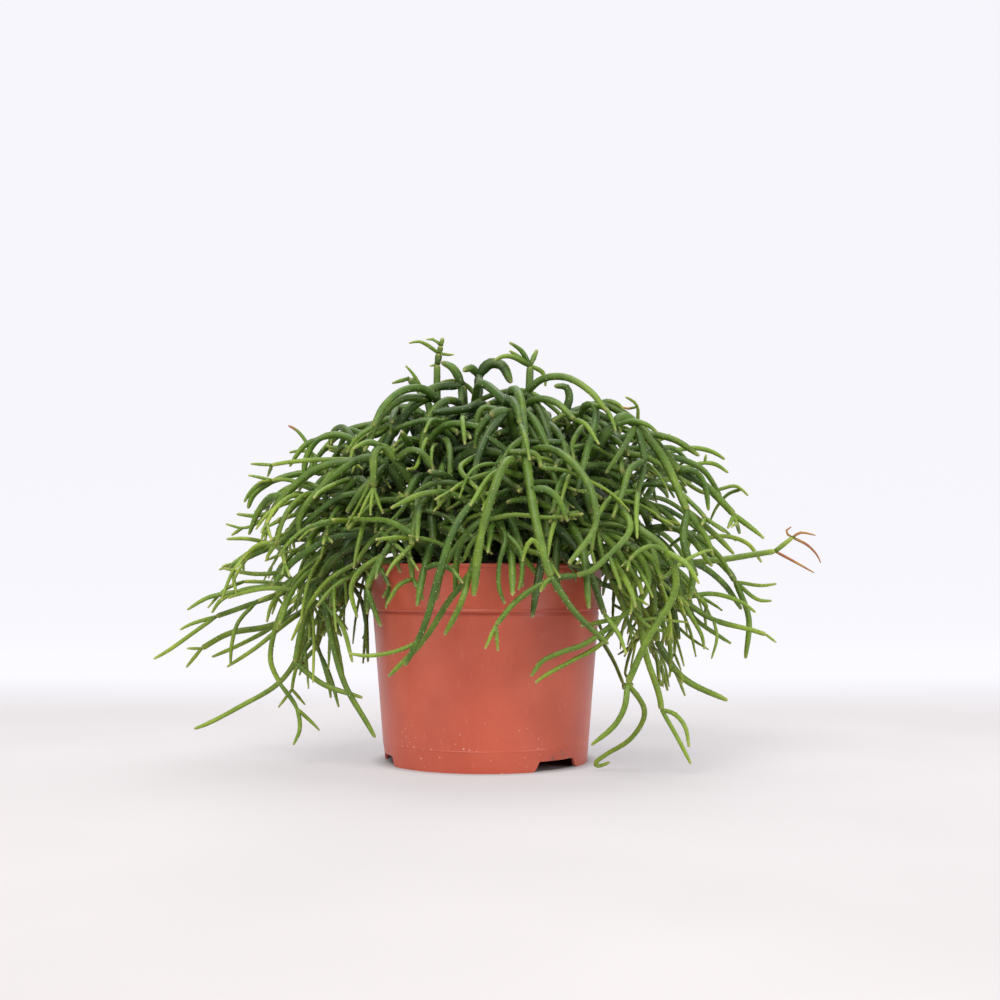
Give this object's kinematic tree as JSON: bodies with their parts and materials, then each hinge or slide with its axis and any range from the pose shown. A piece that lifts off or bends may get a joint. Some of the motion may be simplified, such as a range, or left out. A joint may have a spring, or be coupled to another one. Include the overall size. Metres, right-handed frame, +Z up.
{
  "type": "potted mistletoe cactus",
  "caption": "Potted mistletoe cactus: slender round stems that branch, arch over the rim of a round nursery pot and hang down all round.",
  "frame": {"origin": "centre of the pot's foot, on the surface that the pot stands on, which is also the middle of the plant's spread", "axes": "+Z up along the pot's axis, +X to the right seen from the front and along the plant's widest spread, -Y towards the front"},
  "size_m": [0.3448, 0.1994, 0.2226],
  "materials": {
    "pot_plastic": "satin",
    "potting_mix": "matte",
    "stem_skin": "satin"
  },
  "bodies": {
    "root": {"pot": "pot_plastic", "potting_mix": "potting_mix", "back_stem_01": "stem_skin", "back_stem_02": "stem_skin", "back_stem_03": "stem_skin", "back_stem_04": "stem_skin", "back_stem_05": "stem_skin", "back_stem_06": "stem_skin", "back_stem_07": "stem_skin", "back_stem_08": "stem_skin", "back_stem_09": "stem_skin", "bronze_tipped_arm": "stem_skin", "centre_double_arch": "stem_skin", "centre_long_stem": "stem_skin", "crown_left_arch": "stem_skin", "crown_left_fan": "stem_skin", "crown_stem_01": "stem_skin", "crown_stem_02": "stem_skin", "crown_stem_03": "stem_skin", "crown_stem_04": "stem_skin", "crown_stem_05": "stem_skin", "crown_stem_06": "stem_skin", "crown_stem_07": "stem_skin", "crown_stem_08": "stem_skin", "crown_stem_09": "stem_skin", "crown_stem_10": "stem_skin", "crown_stem_11": "stem_skin", "crown_stem_12": "stem_skin", "crown_top_arch": "stem_skin", "curled_tip_stem": "stem_skin", "front_centre_crossing": "stem_skin", "front_left_crossing": "stem_skin", "front_left_short": "stem_skin", "front_looped_pair": "stem_skin", "front_right_crossing": "stem_skin", "front_short_stem": "stem_skin", "left_big_arch": "stem_skin", "left_droop_pair": "stem_skin", "left_floor_stem": "stem_skin", "left_front_arch": "stem_skin", "left_inner_droop": "stem_skin", "left_low_droop": "stem_skin", "left_low_fan": "stem_skin", "left_mid_arm": "stem_skin", "left_outer_arch": "stem_skin", "pale_shoot_stem": "stem_skin", "right_back_arms": "stem_skin", "right_crown_arch": "stem_skin", "right_floor_pair": "stem_skin", "right_hook": "stem_skin", "right_long_arch": "stem_skin", "right_low_long": "stem_skin", "right_low_spray": "stem_skin", "right_skirt_arm": "stem_skin", "right_top_arch": "stem_skin", "rim_stem_01": "stem_skin", "rim_stem_02": "stem_skin", "rim_stem_03": "stem_skin", "standing_twig": "stem_skin", "star_twig": "stem_skin"}
  },
  "joints": []
}
